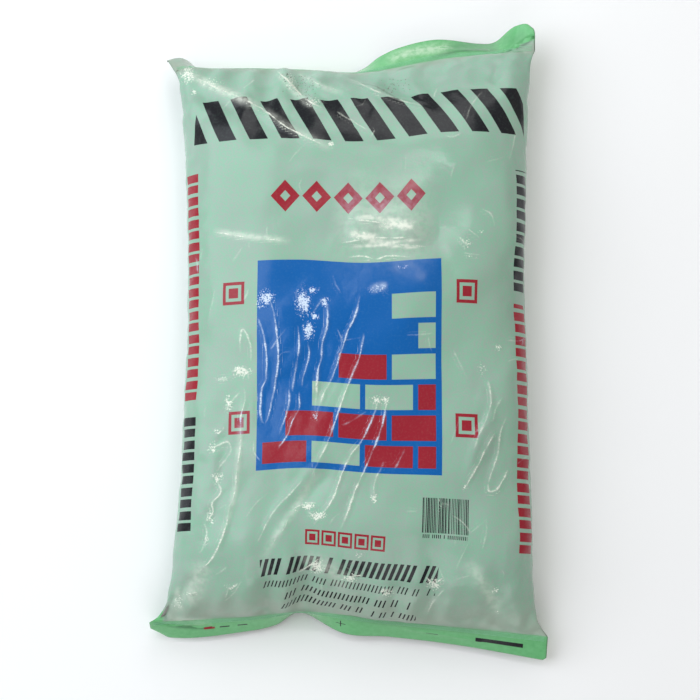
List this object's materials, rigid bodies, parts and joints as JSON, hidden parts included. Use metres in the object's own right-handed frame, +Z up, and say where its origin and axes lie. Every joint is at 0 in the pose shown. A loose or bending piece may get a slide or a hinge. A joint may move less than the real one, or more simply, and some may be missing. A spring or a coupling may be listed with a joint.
{
  "type": "bag of concrete mix",
  "caption": "Filled pillow sack of dry concrete mix in welded plastic film, lying flat, with film skirts and ears at both ends.",
  "frame": {"origin": "middle of the footprint, on the floor that the bag's back lies on", "axes": "+Z up out of the printed front panel, +Y towards the bag's top end, +X to the right of the print"},
  "size_m": [0.394, 0.6422, 0.102],
  "materials": {
    "film": "mint polyethylene film with printed front",
    "mix": "dry grey cement, sand and gravel"
  },
  "bodies": {
    "root": {"film_sack": "film", "concrete_mix": "mix"}
  },
  "joints": []
}
